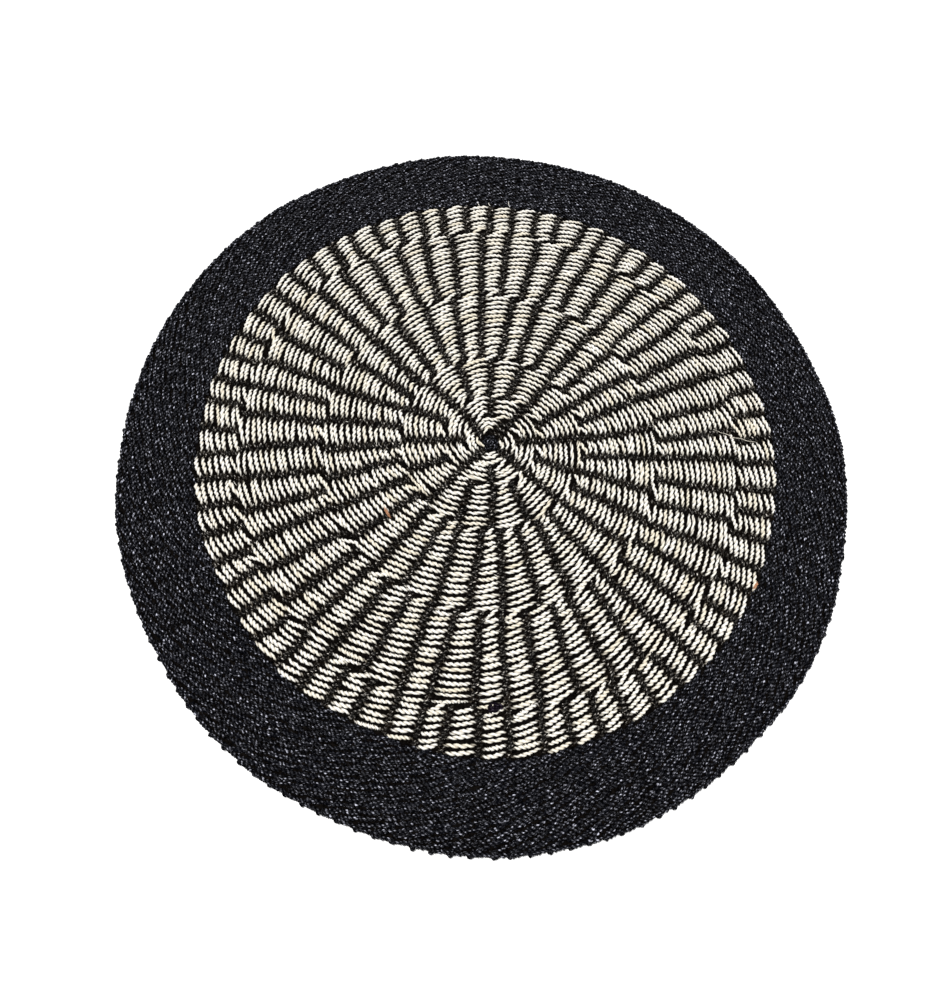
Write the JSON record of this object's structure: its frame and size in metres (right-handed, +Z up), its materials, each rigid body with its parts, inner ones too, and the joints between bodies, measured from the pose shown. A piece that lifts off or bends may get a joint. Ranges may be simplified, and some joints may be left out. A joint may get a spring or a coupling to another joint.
{
  "type": "round natural fibre rug",
  "caption": "Round flat floor rug twined from plant-fibre cord, with a natural sunburst middle and a wide black border.",
  "frame": {"origin": "middle of the weave on the underside, which lies on the floor", "axes": "+Z up through the rug's thickness; X and Y along the floor"},
  "size_m": [1.5088, 1.5029, 0.01],
  "materials": {
    "black_fibre": "black-dyed two-ply plant-fibre cord, mostly matt with a faint sheen on the fibres",
    "natural_fibre": "undyed ivory two-ply plant-fibre cord, matt"
  },
  "bodies": {
    "root": {"woven_cloth": "black_fibre"}
  },
  "joints": []
}
